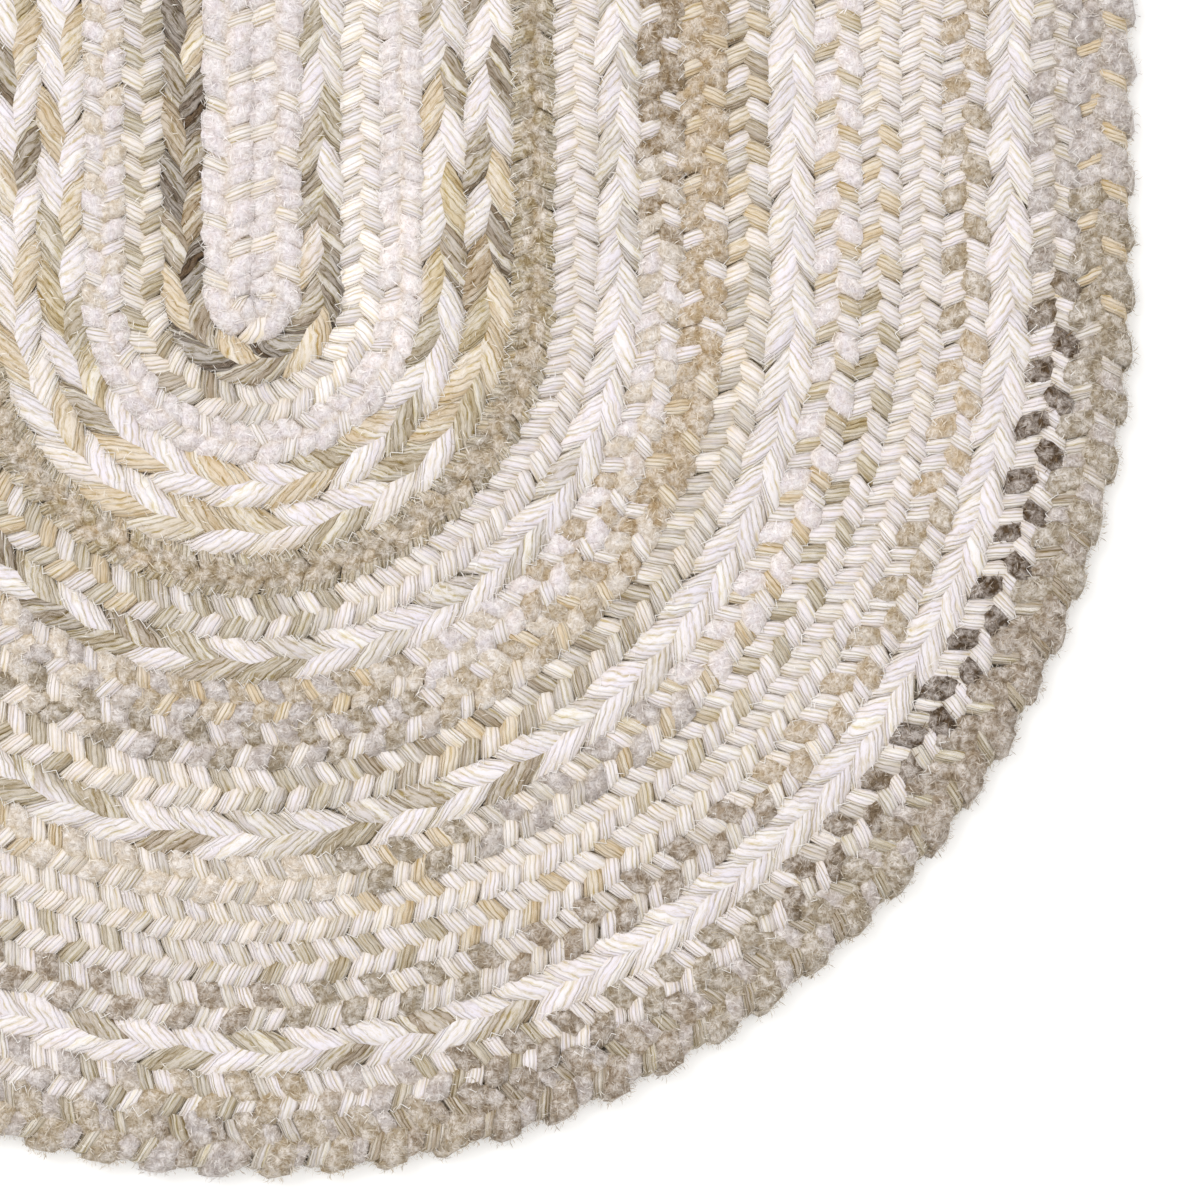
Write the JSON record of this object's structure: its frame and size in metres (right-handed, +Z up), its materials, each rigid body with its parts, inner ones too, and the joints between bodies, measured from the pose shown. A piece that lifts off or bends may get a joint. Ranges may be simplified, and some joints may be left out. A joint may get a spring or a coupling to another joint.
{
  "type": "braided rug",
  "caption": "Oval rug of concentric flat three-strand braids sewn side by side, in cream, tan and grey cotton and chenille, lying flat.",
  "frame": {"origin": "on the floor under the middle of the rug", "axes": "+Y along the rug's length, +X across it, +Z up"},
  "size_m": [0.6094, 0.9142, 0.0092],
  "materials": {
    "plait_yarn": "matt cotton yarn in a loose plait",
    "herringbone_yarn": "matt fine cotton yarn in a tight braid",
    "chenille_yarn": "fluffy chenille and cotton yarn in a tight braid"
  },
  "bodies": {
    "root": {"centre_braid": "chenille_yarn", "braid_01_plait": "plait_yarn", "braid_02_herringbone": "herringbone_yarn", "braid_03_chenille": "chenille_yarn", "braid_04_plait": "plait_yarn", "braid_05_plait": "plait_yarn", "braid_06_chenille": "chenille_yarn", "braid_07_herringbone": "herringbone_yarn", "braid_08_plait": "plait_yarn", "braid_09_chenille": "chenille_yarn", "braid_10_chenille": "chenille_yarn", "braid_11_herringbone": "herringbone_yarn", "braid_12_plait": "plait_yarn", "braid_13_chenille": "chenille_yarn", "braid_14_herringbone": "herringbone_yarn", "braid_15_herringbone": "herringbone_yarn", "braid_16_chenille": "chenille_yarn", "braid_17_plait": "plait_yarn", "braid_18_chenille": "chenille_yarn", "braid_19_chenille": "chenille_yarn"}
  },
  "joints": []
}
